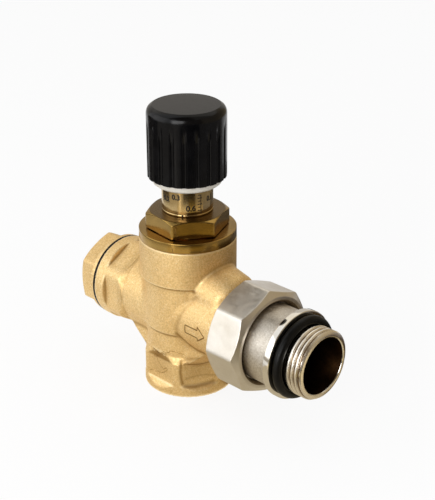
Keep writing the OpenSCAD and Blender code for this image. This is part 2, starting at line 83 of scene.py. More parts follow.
# How a piece that is turned about +Z lies in the frame
UPRIGHT = Matrix.Identity(4)
ALONG_OUTLET = Matrix.Translation((0, 0, run_z)) @ Matrix.Rotation(math.pi / 2, 4, "Y")
ALONG_REAR = Matrix.Translation((0, 0, run_z)) @ Matrix.Rotation(-math.pi / 2, 4, "Y")


# Meshes

def new_object(name, data):
    """An object of the scene, made of a mesh, a curve, a lamp or a camera."""
    thing = bpy.data.objects.new(name, data)
    bpy.context.scene.collection.objects.link(thing)
    return thing


def paint(mesh, material):
    """Gives a mesh one material in place of those it had."""
    mesh.materials.clear()
    mesh.materials.append(material)


def read_places(mesh):
    """Where a mesh's vertices are, a row for each."""
    places = np.zeros(len(mesh.vertices) * 3)
    mesh.vertices.foreach_get("co", places)
    return places.reshape(-1, 3)


def write_places(mesh, places):
    """Moves a mesh's vertices to places in millimetres."""
    mesh.vertices.foreach_set("co", (places * MM).ravel())


def finish_mesh(name, vertices, faces, material_list, face_materials=None, sharp_angle=32):
    """An object from vertices in millimetres, smooth up to an angle."""
    mesh = bpy.data.meshes.new(name)
    mesh.from_pydata((np.asarray(vertices) * MM).tolist(), [], faces)
    for material in material_list:
        mesh.materials.append(material)
    if face_materials is not None:
        mesh.polygons.foreach_set("material_index", face_materials)
    mesh.polygons.foreach_set("use_smooth", [True] * len(mesh.polygons))
    mesh.update()
    mesh.set_sharp_from_angle(angle=math.radians(sharp_angle))
    return new_object(name, mesh)


def row_faces(rows, count, closed=True):
    """Faces between rows of vertices that each go round, where the last row may meet the first."""
    faces = []
    for i in range(rows if closed else rows - 1):
        a, b = count * i, count * ((i + 1) % rows)
        faces += [(a + k, a + (k + 1) % count, b + (k + 1) % count, b + k) for k in range(count)]
    return faces


def soft_min(a, b, k):
    """The smaller of two values, with a rounded change from one to the other."""
    h = np.clip(0.5 + 0.5 * (b - a) / k, 0, 1)
    return b + (a - b) * h - k * h * (1 - h)


def soft_max(a, b, k):
    """The larger of two values, with a rounded change from one to the other."""
    return -soft_min(-a, -b, k)


def flat_radius(theta, half_flats, sides, turn):
    """Distance from the axis to the side of a prism, at each angle."""
    step = TAU / sides
    return half_flats / np.cos((theta - turn + step / 2) % step - step / 2)


def rounded_outline(corners):
    """Outline points with each corner's own fillet. A corner is (along, radius, fillet, form, finish),
    and its last values may be left out."""
    points = []
    for i, corner in enumerate(corners):
        z, r, fillet, form, finish = (*corner, *(0, "", 0)[len(corner) - 2:])
        if fillet == 0:
            points.append((z, r, form, finish))
            continue
        here = Vector((z, r))
        before = Vector(corners[i - 1][:2]) - here
        after = Vector(corners[(i + 1) % len(corners)][:2]) - here
        reach = min(fillet, before.length / 2, after.length / 2)
        a = here + before.normalized() * reach
        b = here + after.normalized() * reach
        for t in (0, 0.25, 0.5, 0.75, 1):
            p = a * (1 - t) ** 2 + here * (2 * t * (1 - t)) + b * t ** 2
            points.append((p.x, p.y, form, finish))
    return points


def lathe(name, corners, material_list, segments, forms=None, place=UPRIGHT, step=0.22, start=0.0,
          sharp_angle=32):
    """A turned piece. Where an outline point names a form, that function shapes the radius round the axis."""
    points = rounded_outline(corners)
    rows = []
    for i, (z0, r0, form, finish) in enumerate(points):
        z1, r1, next_form = points[(i + 1) % len(points)][:3]
        flat_side = r0 == r1 and form in ("hexagon", "octagon")
        pieces = 1
        if form and form == next_form and not flat_side:
            pieces = max(1, math.ceil(math.hypot(z1 - z0, r1 - r0) / step))
        for k in range(pieces):
            t = k / pieces
            rows.append((z0 + (z1 - z0) * t, r0 + (r1 - r0) * t, form, finish))
    theta = start + np.arange(segments) * TAU / segments
    vertices = []
    cuts = []
    for z, r, form, _ in rows:
        radius = np.full(segments, r)
        along = np.full(segments, z)
        if form:
            radius = forms[form](theta, along, radius)
        vertices.append(np.stack([radius * np.cos(theta), radius * np.sin(theta), along], 1))
        cuts.append(np.clip(r - radius, 0, 1))
    faces = row_faces(len(rows), segments)
    face_materials = [row[3] for row in rows for _ in range(segments)]
    vertices = np.concatenate(vertices) @ np.array(place.to_3x3()).T + np.array(place.translation)
    piece = finish_mesh(name, vertices, faces, material_list, face_materials, sharp_angle)
    piece.data.attributes.new("cut", "FLOAT", "POINT").data.foreach_set("value", np.concatenate(cuts))
    return piece


def prism_form(half_flats, sides, turn, rounding):
    """Wrench flats: the outline is cut back to the sides of a prism."""
    def shape(theta, along, radius):
        return soft_min(radius, flat_radius(theta, half_flats, sides, turn), rounding)
    return shape


def thread_form(foot, top, pitch, depth, inward=1, crested=False):
    """A helical thread between two places along the axis, with wide crests or with wide grooves."""
    def shape(theta, along, radius):
        ridge = np.abs(2 * ((along / pitch - theta / TAU) % 1) - 1)
        groove = (0.62 - ridge) / 0.45 if crested else 1.25 * (1 - ridge) - 0.12
        fade = np.clip((along - foot) / (0.7 * pitch), 0, 1) * np.clip((top - along) / (0.5 * pitch), 0, 1)
        return radius - inward * depth * np.clip(groove, 0, 1) * fade
    return shape


# Materials

def add_node(tree, kind, inputs, **settings):
    """A shader node with its settings. An input is a plain value or the socket that feeds it."""
    node = tree.nodes.new("ShaderNode" + kind)
    for name, value in settings.items():
        setattr(node, name, value)
    for socket, value in inputs.items():
        if isinstance(value, bpy.types.NodeSocket):
            tree.links.new(value, node.inputs[socket])
        else:
            node.inputs[socket].default_value = value
    return node


def new_material(name):
    """A node material and its tree."""
    material = bpy.data.materials.new(name)
    material.use_nodes = True
    return material, material.node_tree


class Finish:
    """A Principled material and short ways to add its nodes."""

    def __init__(self, name, colour, metallic, roughness):
        self.material, self.tree = new_material(name)
        self.shader = self.tree.nodes["Principled BSDF"]
        self.set("Base Color", (*colour, 1))
        self.set("Metallic", metallic)
        self.set("Roughness", roughness)
        self.coordinates = self.add("TexCoord", {}).outputs["Object"]

    def set(self, socket, value):
        self.shader.inputs[socket].default_value = value

    def add(self, kind, inputs, **settings):
        return add_node(self.tree, kind, inputs, **settings)

    def math(self, operation, a, b=0.0):
        return self.add("Math", {0: a, 1: b}, operation=operation).outputs[0]

    def noise(self, scale, detail, roughness=0.55, vector=None):
        inputs = {"Scale": scale, "Detail": detail, "Roughness": roughness, "Vector": vector or self.coordinates}
        return self.add("TexNoise", inputs).outputs["Fac"]

    def cells(self, scale):
        return self.add("TexVoronoi", {"Scale": scale, "Vector": self.coordinates}).outputs["Distance"]

    def spread(self, value, low, high, to_low=0.0, to_high=1.0):
        """A value from one range carried to another."""
        inputs = {"From Min": low, "From Max": high, "To Min": to_low, "To Max": to_high, "Value": value}
        return self.add("MapRange", inputs).outputs["Result"]

    def cloud(self, scale, detail, *ranges):
        """Noise spread from one range to another."""
        return self.spread(self.noise(scale, detail), *ranges)

    def blend(self, amount, a, b):
        """Colour a turning into colour b as the amount grows."""
        a, b = ((*colour, 1) if isinstance(colour, tuple) else colour for colour in (a, b))
        return self.add("Mix", {6: a, 7: b, 0: amount}, data_type="RGBA").outputs[2]

    def vertex_value(self, name):
        """A value stored at the mesh's vertices."""
        return self.add("Attribute", {}, attribute_name=name).outputs["Fac"]

    def colour(self, value):
        self.tree.links.new(value, self.shader.inputs["Base Color"])

    def roughness(self, value):
        self.tree.links.new(value, self.shader.inputs["Roughness"])

    def bump(self, height, strength, depth_mm):
        """Raises the surface by a height map, on top of any bump so far."""
        normal = self.shader.inputs["Normal"]
        inputs = {"Strength": strength, "Distance": depth_mm * MM, "Height": height}
        if normal.is_linked:
            inputs["Normal"] = normal.links[0].from_socket
        self.tree.links.new(self.add("Bump", inputs).outputs["Normal"], normal)

    def rings(self, density):
        """Noise drawn out round the upright axis, as a lathe tool leaves it."""
        x, y, z = self.add("SeparateXYZ", {0: self.coordinates}).outputs
        squares = self.math("ADD", self.math("POWER", x, 2.0), self.math("POWER", y, 2.0))
        across = self.math("MULTIPLY", self.math("SQRT", squares), density)
        along = self.math("MULTIPLY", z, density)
        return self.noise(1.0, 2.0, 0.6, self.add("CombineXYZ", {0: across, 1: along}).outputs[0])


def cast_brass(name="cast_brass", with_creases=False):
    """Hot-pressed brass, sand-blasted: matt and mottled, with light specks of painted glint, and with painted
    shade in its creases and painted highlight on its edges where the mesh carries them.
    """
    f = Finish(name, (0.80, 0.56, 0.27), 1.0, 0.55)
    patches = f.cloud(55.0, 4.0, 0.35, 0.65)
    mottle = f.spread(f.noise(1500.0, 3.0, 0.7), 0.36, 0.64)
    # Painted glints: light specks in the colour stand in for the sparkle of the blasted surface
    glint_specks = f.spread(f.noise(2400.0, 2.0, 0.7), 0.60, 0.74)
    pits = f.spread(f.cells(330.0), 0.015, 0.07)
    ground = f.blend(patches, (0.88, 0.64, 0.31), (0.92, 0.70, 0.37))
    ground = f.blend(mottle, f.blend(patches, (0.68, 0.46, 0.19), (0.74, 0.52, 0.23)), ground)
    ground = f.blend(glint_specks, ground, (1.0, 0.90, 0.66))
    ground = f.blend(pits, (0.30, 0.17, 0.05), ground)
    if with_creases:
        # Painted highlight on the edges and painted shade in the creases, from values stored at the casting's
        # vertices
        ground = f.blend(f.vertex_value("edge_highlight"), ground, (0.96, 0.80, 0.50))
        ground = f.blend(f.vertex_value("crease"), ground, (0.34, 0.19, 0.05))
    f.colour(ground)
    f.roughness(f.cloud(900.0, 3.0, 0.3, 0.7, 0.46, 0.64))
    f.bump(f.noise(2100.0, 4.0, 0.65), 0.75, 0.11)
    f.bump(f.noise(420.0, 3.0), 0.10, 0.20)
    return f.material


def turned_brass(name, colour, roughness):
    """Turned brass with fine tool rings and a slightly darker stain here and there."""
    f = Finish(name, colour, 1.0, roughness)
    rings = f.rings(9000.0)
    stain = f.cloud(110.0, 3.0, 0.35, 0.75)
    dark = tuple(c * 0.72 for c in colour)
    f.colour(f.blend(stain, colour, dark))
    f.roughness(f.spread(rings, 0.3, 0.7, roughness * 0.8, roughness * 1.5))
    f.bump(rings, 0.12, 0.03)
    f.bump(f.noise(600.0, 2.0), 0.06, 0.05)
    return f.material


def nickel(name, colour, roughness, mottle, threaded=False):
    """Nickel plating over brass, a little warm, mottled where it is matt, and in a thread turned brown by
    painted shade down in its grooves.
    """
    f = Finish(name, colour, 1.0, roughness)
    warm = f.cloud(90.0, 3.0, 0.35, 0.7)
    grain = f.spread(f.noise(1500.0, 3.0, 0.65), 0.35, 0.65)
    darker = tuple(c * k for c, k in zip(colour, (0.86, 0.84, 0.80)))
    grey = tuple(c * k for c, k in zip(colour, (0.70, 0.67, 0.62)))
    plain = f.blend(warm, colour, darker)
    if threaded:
        # Painted shade: the colour turns brown where the thread is cut deep
        f.colour(f.blend(f.spread(f.vertex_value("cut"), 0.25, 0.7), plain, (0.20, 0.13, 0.07)))
    else:
        f.colour(f.blend(f.math("MULTIPLY", grain, mottle), plain, grey))
    f.roughness(f.cloud(420.0, 3.0, 0.3, 0.7, roughness * 0.85, roughness * 1.2))
    f.bump(f.noise(1300.0, 3.0, 0.6), 0.06 + 0.4 * mottle, 0.02 + 0.05 * mottle)
    return f.material


def smooth_finish(name, colour, metallic, roughness, cloud, shades, grain=None, specular=0.5, gloss=None):
    """A smooth surface that clouds from one shade to another. A cloud is a noise's scale, detail and range,
    the grain is a noise's scale and detail with a bump's strength and depth, and gloss clouds the roughness."""
    f = Finish(name, colour, metallic, roughness)
    f.set("Specular IOR Level", specular)
    f.colour(f.blend(f.cloud(*cloud), *shades))
    if gloss:
        f.roughness(f.cloud(*gloss))
    if grain:
        f.bump(f.noise(*grain[:2]), *grain[2:])
    return f.material


CAST = cast_brass()
CREASED_CAST = cast_brass("cast_brass_body", True)
# Dark brass of painted shade, for the flow arrow's lines and the stamped nick, and also for the scratch on the
# flange
CREASE = smooth_finish("crease_brass", (0.34, 0.20, 0.06), 1.0, 0.6, (800.0, 3.0, 0.3, 0.7),
                       ((0.16, 0.08, 0.02), (0.34, 0.20, 0.06)), (1100.0, 3.0, 0.4, 0.08))
STAIN = smooth_finish("stained_brass", (0.66, 0.44, 0.17), 1.0, 0.6, (800.0, 3.0, 0.3, 0.7),
                      ((0.34, 0.19, 0.05), (0.66, 0.44, 0.17)), (1100.0, 3.0, 0.4, 0.08))
BONNET_BRASS = turned_brass("turned_brass", (0.42, 0.265, 0.075), 0.18)
# A darker copy of the turned brass, painted shade and painted dark reflection for the hexagon's top face
SHADED_BRASS = turned_brass("shaded_brass", (0.17, 0.105, 0.030), 0.24)
SLEEVE_BRASS = turned_brass("satin_brass", (0.62, 0.45, 0.21), 0.15)
NUT_NICKEL = nickel("nut_nickel", (0.77, 0.735, 0.675), 0.36, 0.15)
TAIL_NICKEL = nickel("tail_nickel", (0.82, 0.79, 0.73), 0.10, 0.0)
MATT_NICKEL = nickel("matt_nickel", (0.74, 0.70, 0.64), 0.42, 1.0)
# A dark copy of the nut's nickel, painted shade for the recess inside the nut's front face
PAINTED_SHADE_NICKEL = nickel("painted_shade_nickel", (0.36, 0.30, 0.22), 0.42, 0.6)
THREAD_NICKEL = nickel("thread_nickel", (0.90, 0.85, 0.77), 0.27, 0.1, True)
BLACK = smooth_finish("black_plastic", (0.003, 0.003, 0.0035), 0.0, 0.17, (160.0, 3.0, 0.35, 0.7),
                      ((0.0014, 0.0014, 0.0018), (0.003, 0.003, 0.0035)), (1400.0, 2.0, 0.05, 0.02), 0.21,
                      (350.0, 3.0, 0.3, 0.7, 0.13, 0.24))
WHITE = smooth_finish("white_plastic", (0.80, 0.77, 0.70), 0.0, 0.42, (120.0, 2.0, 0.35, 0.7),
                      ((0.58, 0.55, 0.49), (0.49, 0.455, 0.39)), (1500.0, 2.0, 0.08, 0.03))
RUBBER = smooth_finish("black_rubber", (0.004, 0.004, 0.004), 0.0, 0.34, (300.0, 4.0, 0.45, 0.8),
                       ((0.0015, 0.0015, 0.0015), (0.005, 0.0045, 0.004)), (900.0, 3.0, 0.12, 0.04), 0.18,
                       (500.0, 3.0, 0.3, 0.7, 0.30, 0.48))
# Near black metal, painted shade for the inside of the tailpiece's bore
BORE = smooth_finish("dark_bore", (0.016, 0.008, 0.003), 1.0, 0.5, (200.0, 4.0, 0.3, 0.7),
                     ((0.008, 0.004, 0.002), (0.035, 0.016, 0.006)), (500.0, 3.0, 0.25, 0.08))
STEEL = smooth_finish("spring_steel", (0.58, 0.57, 0.55), 1.0, 0.28, (300.0, 3.0, 0.3, 0.7),
                      ((0.62, 0.61, 0.59), (0.48, 0.47, 0.45)), (1200.0, 2.0, 0.1, 0.03))
FIBRE = smooth_finish("fibre", (0.12, 0.13, 0.14), 0.0, 0.8, (1200.0, 4.0, 0.0, 1.0),
                      ((0.08, 0.09, 0.10), (0.17, 0.18, 0.19)), (1500.0, 4.0, 0.3, 0.06))
INK = smooth_finish("scale_ink", (0.02, 0.014, 0.01), 0.0, 0.6, (900.0, 2.0, 0.0, 1.0),
                    ((0.004, 0.003, 0.003), (0.012, 0.009, 0.006)), None, 0.2)


# Cast body

def cylinder_distance(across, along, radius, low, high):
    """Distance to a capped cylinder, negative inside."""
    side = across - radius
    ends = np.maximum(low - along, along - high)
    outside = np.hypot(np.maximum(side, 0), np.maximum(ends, 0))
    return outside + np.minimum(np.maximum(side, ends), 0)


def profile_distance(across, along, profile):
    """Distance to a solid turned from an outline of (along, radius) corners that starts and ends on the axis."""
    best = np.full(across.shape, 1e9)
    inside = np.zeros(across.shape, bool)
    corners = profile + [(profile[-1][0], -5.0), (profile[0][0], -5.0)]
    for (z0, r0), (z1, r1) in zip(corners, corners[1:] + corners[:1]):
        ez, er = z1 - z0, r1 - r0
        wz, wr = along - z0, across - r0
        t = np.clip((wz * ez + wr * er) / (ez * ez + er * er), 0, 1)
        if not (r0 <= 0 and r1 <= 0):
            best = np.minimum(best, np.hypot(wz - ez * t, wr - er * t))
        crosses = (r0 > across) != (r1 > across)
        if r1 != r0:
            at = z0 + ez * (across - r0) / (r1 - r0)
            inside ^= crosses & (along < at)
    return np.where(inside, -best, best)


# Sizes of the casting, the same as in the solid model
RUN_R = 15.2
NECK_R = 16.3
WAIST_R, WAIST_FOOT = 17.2, 26.5
BARREL_R, BARREL_FOOT = 18.6, run_z + 14.8
INLET_RIM_R, INLET_RIM_H, INLET_HALF_FLATS = 17.5, 4.0, 15.85
INLET_FLAT_TOP, INLET_SHOULDER_TOP = 14.0, 16.8
REAR_RIM_R, REAR_RIM_W, REAR_HALF_FLATS, REAR_FLAT_W, REAR_TAPER = 16.8, 5.0, 15.3, 8.0, 2.2
UNION_THREAD_R, UNION_THREAD_L = 17.3, 6.8
LOBE_R, LOBE_RISE, LOBE_TILT, LOBE_L, LOBE_EDGE_R = 11.3, 10.5, math.radians(14), 9.0, 5.0
WEB_HALF_W, WEB_FLARE, WEB_DROP = 12.2, 0.925, 8

# Fillets between the casting's parts, and the rounding of its cut edges
REAR_FILLET, OUTLET_FILLET, LOBE_FILLET, WEB_FILLET = 1.5, 1.3, 1.0, 1.2
EDGE_ROUNDING = 0.45

# Rooms inside the casting, which keep the solid's own walls
PORT_BORE_R, INLET_THREAD_L, REAR_THREAD_L = 12.06, 15.0, 13.0
OUTLET_BORE_R, OUTLET_BORE_START = 10.8, 10
NECK_ROOM_R, NECK_ROOM_FOOT = 15.2, 43
SEAL_ROOM_R, SEAL_ROOM_H = 16.7, 3
PAST_END = 5

# How the solid's skin is drawn onto the casting: its voxels, the wall left round the passages, how far
# the skin may be from the form, the step that measures a slope, and the least slope and the longest move
CAST_VOXEL, PASSAGE_MARGIN, SKIN_REACH = 0.36, 0.55, 1.9
PROBE, LEAST_SLOPE, LONGEST_MOVE = 0.02, 0.3, 0.4


def flats_distance(u, v, half_flats):
    """Distance past the nearest wrench flat of a hexagon, positive outside."""
    angles = math.pi / 6 + TAU / 6 * np.arange(6)
    return np.max([u * math.cos(a) + v * math.sin(a) - half_flats for a in angles], axis=0)


def casting_distance(p):
    """Distance to the outside of the casting with its fillets, negative inside."""
    x, y, z = p[:, 0], p[:, 1], p[:, 2]
    h = z - run_z
    across = np.hypot(x, y)
    column = profile_distance(across, z, [
        (0.0, 0.0), (0.0, INLET_RIM_R), (INLET_FLAT_TOP, INLET_RIM_R), (INLET_SHOULDER_TOP, NECK_R),
        (WAIST_FOOT, NECK_R), (WAIST_FOOT, WAIST_R), (BARREL_FOOT, WAIST_R), (BARREL_FOOT, BARREL_R),
        (barrel_top, BARREL_R), (barrel_top, 0.0)])
    # The wrench flats run out on slopes, and the divisors bring a slope's distance back to scale
    past_flat = flats_distance(x, y, INLET_HALF_FLATS)
    ledge = (INLET_RIM_H + 1.0 - 1.4 * np.maximum(past_flat, 0) - z) / 1.7
    roof = (z - INLET_SHOULDER_TOP - 0.3 + 1.2 * np.maximum(past_flat, 0)) / 1.56
    inlet_cut = np.maximum(np.maximum(ledge, roof), -past_flat)
    column = soft_max(column, -inlet_cut, EDGE_ROUNDING)
    round_run = np.hypot(y, h)
    flat_start = rear_face - REAR_RIM_W - REAR_FLAT_W
    rear = profile_distance(round_run, -x, [
        (0.0, 0.0), (0.0, RUN_R), (flat_start - REAR_TAPER, RUN_R), (flat_start, REAR_RIM_R),
        (rear_face, REAR_RIM_R), (rear_face, 0.0)])
    past_flat = flats_distance(h, y, REAR_HALF_FLATS)
    rim_end = (-x - rear_face + REAR_RIM_W + 0.2 - 0.5 * np.maximum(past_flat, 0)) / 1.12
    rear_cut = np.maximum(np.maximum(flat_start - REAR_TAPER + x, rim_end), -past_flat)
    rear = soft_max(rear, -rear_cut, EDGE_ROUNDING)
    outlet = profile_distance(round_run, x, [
        (0.0, 0.0), (0.0, RUN_R), (outlet_face - UNION_THREAD_L, RUN_R),
        (outlet_face - UNION_THREAD_L, UNION_THREAD_R), (outlet_face, UNION_THREAD_R), (outlet_face, 0.0)])
    lx, lz = x - BARREL_R, h - LOBE_RISE
    along = lx * math.cos(LOBE_TILT) - lz * math.sin(LOBE_TILT)
    off = np.hypot(y, lx * math.sin(LOBE_TILT) + lz * math.cos(LOBE_TILT))
    core = cylinder_distance(off, along, LOBE_R - LOBE_EDGE_R, -BARREL_R, LOBE_L - LOBE_EDGE_R)
    lobe = core - LOBE_EDGE_R
    web_h = run_z - WEB_DROP - INLET_FLAT_TOP
    web = np.maximum(profile_distance(across, z, [
        (INLET_FLAT_TOP, 0.0), (INLET_FLAT_TOP, NECK_R), (INLET_FLAT_TOP + web_h, NECK_R + WEB_FLARE * web_h),
        (INLET_FLAT_TOP + web_h, 0.0)]), np.abs(y) - WEB_HALF_W)
    whole = soft_min(column, rear, REAR_FILLET)
    whole = soft_min(whole, outlet, OUTLET_FILLET)
    whole = soft_min(whole, lobe, LOBE_FILLET)
    return soft_min(whole, web, WEB_FILLET)


def passage_distance(p):
    """Rough distance to the casting's ports and passages, negative inside them."""
    across = np.hypot(p[:, 0], p[:, 1])
    round_run = np.hypot(p[:, 1], p[:, 2] - run_z)
    above = barrel_top + PAST_END
    inlet = cylinder_distance(across, p[:, 2], PORT_BORE_R, -PAST_END, INLET_THREAD_L)
    rear = cylinder_distance(round_run, -p[:, 0], PORT_BORE_R, rear_face - REAR_THREAD_L, rear_face + PAST_END)
    outlet = cylinder_distance(round_run, p[:, 0], OUTLET_BORE_R, OUTLET_BORE_START, outlet_face + PAST_END)
    neck = cylinder_distance(across, p[:, 2], NECK_ROOM_R, NECK_ROOM_FOOT, above)
    seal_room = cylinder_distance(across, p[:, 2], SEAL_ROOM_R, barrel_top - SEAL_ROOM_H, above)
    return np.min([inlet, rear, outlet, neck, seal_room], axis=0)


# Creases that the pressing left, each with a band of painted shade along it: the path, its half width, its depth
# and how dark the painted shade is
CREASES = (
    ([(9.0, -15.2, 27.6), (11.1, -13.8, 25.6), (13.9, -12.9, 23.7), (17.2, -12.5, 22.7), (21.1, -12.6, 23.0)],
     0.95, 0.40, 0.85),
    ([(9.9, -13.7, 15.5), (10.1, -14.1, 13.1), (10.0, -14.2, 10.4), (10.3, -13.9, 7.2), (10.5, -13.6, 5.9)],
     0.65, 0.22, 0.8),
    ([(10.6, -13.0, 15.9), (13.1, -12.2, 17.3), (17.7, -11.9, 19.4)], 0.6, 0.15, 0.5),
    ([(11.1, -13.1, 4.6), (13.2, -9.8, 4.3), (15.1, -6.2, 4.6), (16.5, -3.2, 5.1)], 0.9, 0.05, 0.75),
    ([(11.1, -12.5, 7.9), (13.1, -9.1, 8.6), (14.9, -5.9, 8.7), (17.1, -2.1, 7.8)], 0.42, 0.06, 0.5),
    ([(-19.4, -12.2, 21.3), (-15.2, -12.2, 21.5), (-10.6, -12.7, 21.6)], 0.9, 0.2, 0.6),
    ([(15.7, -11.3, 44.2), (13.1, -11.9, 41.8), (12.1, -13.0, 40.2), (11.6, -13.6, 39.0), (10.8, -14.4, 36.9),
      (9.8, -15.1, 34.2), (8.9, -15.3, 30.5), (9.0, -15.2, 27.6)], 0.9, 0.22, 0.38),
)


def path_distance(points, path):
    """Distance to a line through several places."""
    best = np.full(len(points), 1e9)
    for a, b in zip(np.array(path[:-1]), np.array(path[1:])):
        along = np.clip((points - a) @ (b - a) / ((b - a) @ (b - a)), 0, 1)
        best = np.minimum(best, np.linalg.norm(points - a - along[:, None] * (b - a), axis=1))
    return best


def skin_slope(points, value):
    """How the distance to the casting grows along each axis."""
    return np.stack([casting_distance(points + d) - value for d in PROBE * np.eye(3)], 1) / PROBE


def onto_skin(points, rounds):
    """Points moved onto the outside of the casting."""
    for _ in range(rounds):
        value = casting_distance(points)
        slope = skin_slope(points, value)
        size = np.maximum((slope ** 2).sum(1), LEAST_SLOPE)
        points = points - np.clip(value / size, -LONGEST_MOVE, LONGEST_MOVE)[:, None] * slope
    return points


def skin_normal(points):
    """Direction straight out of the casting's skin."""
    slope = skin_slope(points, casting_distance(points))
    return slope / np.maximum(np.linalg.norm(slope, axis=1), 1e-9)[:, None]


def skin_line(name, path, width, height, material, closed=False, wander=0.0):
    """A low ridge that follows the casting's skin from point to point, straight or wandering a little."""
    corners = [Vector(point) for point in path]
    if closed:
        corners.append(corners[0])
    places = []
    for a, b in zip(corners, corners[1:]):
        steps = max(1, math.ceil((b - a).length / 0.35))
        places += [a.lerp(b, i / steps) for i in range(steps)]
    if not closed:
        places.append(corners[-1])
    places = onto_skin(np.array(places), 8)
    normal = skin_normal(places)
    if closed:
        along = np.roll(places, -1, 0) - np.roll(places, 1, 0)
    else:
        along = np.gradient(places, axis=0)
    side = np.cross(along, normal)
    side /= np.maximum(np.linalg.norm(side, axis=1), 1e-9)[:, None]
    step = np.arange(len(places))
    places = places + side * (wander * (np.sin(1.3 * step) + np.sin(0.47 * step + 1)))[:, None]
    widths = (width * (1 + 2.2 * wander * np.sin(0.83 * step + 2)))[:, None]
    rows = []
    for u, v in ((-0.5, -0.3), (-0.28, 0.6), (0, 1), (0.28, 0.6), (0.5, -0.3)):
        rows.append(places + side * u * widths + normal * (v * height))
    vertices = np.stack(rows, 1).reshape(-1, 3)
    count = len(places)
    faces = row_faces(count, 5, closed)
    if not closed:
        faces += [tuple(range(4, -1, -1)), tuple(5 * (count - 1) + k for k in range(5))]
    piece = finish_mesh(name, vertices, faces, [material], sharp_angle=80)
    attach(piece, "casing")


def on_run(x, degrees):
    """A point on the outlet neck's front, at an angle above the side axis."""
    a = math.radians(degrees)
    return (x, -RUN_R * math.cos(a), run_z + RUN_R * math.sin(a))


def on_column(degrees, z):
    """A point near the column's skin, at an angle round it."""
    a, r = math.radians(degrees), 17.0
    return (r * math.cos(a), r * math.sin(a), z)


def casting_marks():
    """The flow arrow on both sides of the outlet neck, a low ridge in painted shade, and the flow lines that the
    pressing left.
    """
    for side in (1, -1):
        arrow = [on_run(x, a) for x, a in ((13.6, 6.0), (20.0, 6.0), (20.0, 11.0), (23.8, 0.0), (20.0, -11.0),
                                           (20.0, -6.0), (13.6, -6.0))]
        arrow = [(x, side * y, z) for x, y, z in arrow]
        # The arrow's dark colour is painted shade of its relief
        skin_line(f"flow_arrow_{'front' if side > 0 else 'back'}", arrow, 0.56, 0.12, CREASE, closed=True)
    flow_lines = (
        [(-103, 17.5), (-96, 17.4), (-89, 16.3), (-82, 17.8), (-76, 18.0), (-69, 19.1), (-62, 19.3), (-56, 18.8),
         (-51, 18.4)],
        [(-96, 16.0), (-95, 12.8), (-90, 11.9), (-88, 10.8), (-84, 9.9), (-78, 11.3), (-76, 10.6), (-82, 8.5),
         (-90, 7.8), (-99, 7.3)],
        [(-110, 6.8), (-103, 7.3)],
        [(-30, 46.9), (-27.5, 45.6), (-25, 47.4)],
        [(95, 16.9), (104, 17.6), (112, 17.0), (121, 17.9)],
        [(20, 20.5), (28, 19.4), (36, 19.9)])
    for i, line in enumerate(flow_lines):
        skin_line(f"flow_line_{i}", [on_column(a, z) for a, z in line], 0.36, 0.045, STAIN, wander=0.13)


def cast_body():
    """The casting: the CAD solid's skin, drawn onto the same form with its fillets and rounded edges."""
    piece = new_object("cast_body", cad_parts["valve_body"].data.copy())
    remesh = piece.modifiers.new("skin", "REMESH")
    remesh.mode = "VOXEL"
    remesh.voxel_size = CAST_VOXEL * MM
    evaluated = piece.evaluated_get(bpy.context.evaluated_depsgraph_get())
    mesh = bpy.data.meshes.new_from_object(evaluated)
    piece.modifiers.clear()
    piece.data = mesh
    points = read_places(mesh) / MM
    outer = (passage_distance(points) > PASSAGE_MARGIN) & (np.abs(casting_distance(points)) < SKIN_REACH)
    skin = onto_skin(points[outer], 5)
    normal = skin_normal(skin)
    # Painted shade darkens the hollows and painted highlight brightens the edges, judged by the casting's
    # distance a little outside and inside its skin
    near, wide = (1 - casting_distance(skin + reach * normal) / reach for reach in (1.2, 4.0))
    dark = np.clip(np.clip(2.2 * near - 0.2, 0, 0.7) + np.clip(0.7 * wide - 0.04, 0, 0.3), 0, 0.9)
    painted_highlight = np.clip(2.4 * (1 + casting_distance(skin - 0.8 * normal) / 0.8) - 0.2, 0, 0.6)
    sunk = np.zeros(len(skin))
    for path, width, depth, shade in CREASES:
        for side in (1, -1):
            bell = np.exp(-(path_distance(skin * (1, side, 1), path) / width) ** 2)
            sunk = np.maximum(sunk, depth * bell)
            dark = np.maximum(dark, shade * bell)
    points[outer] = skin - sunk[:, None] * normal
    write_places(mesh, points)
    # The vertices keep the painted shade and the painted highlight for the material
    for name, shades in (("crease", dark), ("edge_highlight", painted_highlight)):
        values = np.zeros(len(points))
        values[outer] = shades
        mesh.attributes.new(name, "FLOAT", "POINT").data.foreach_set("value", values)
    paint(mesh, CREASED_CAST)
    mesh.polygons.foreach_set("use_smooth", [True] * len(mesh.polygons))
    mesh.update()
    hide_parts("valve_body")
    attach(piece, "casing")


# Bonnet, sleeve and knob

BONNET_FLANGE_R, BONNET_HALF_FLATS, BONNET_TURN = 18.58, 14.0, math.radians(24)


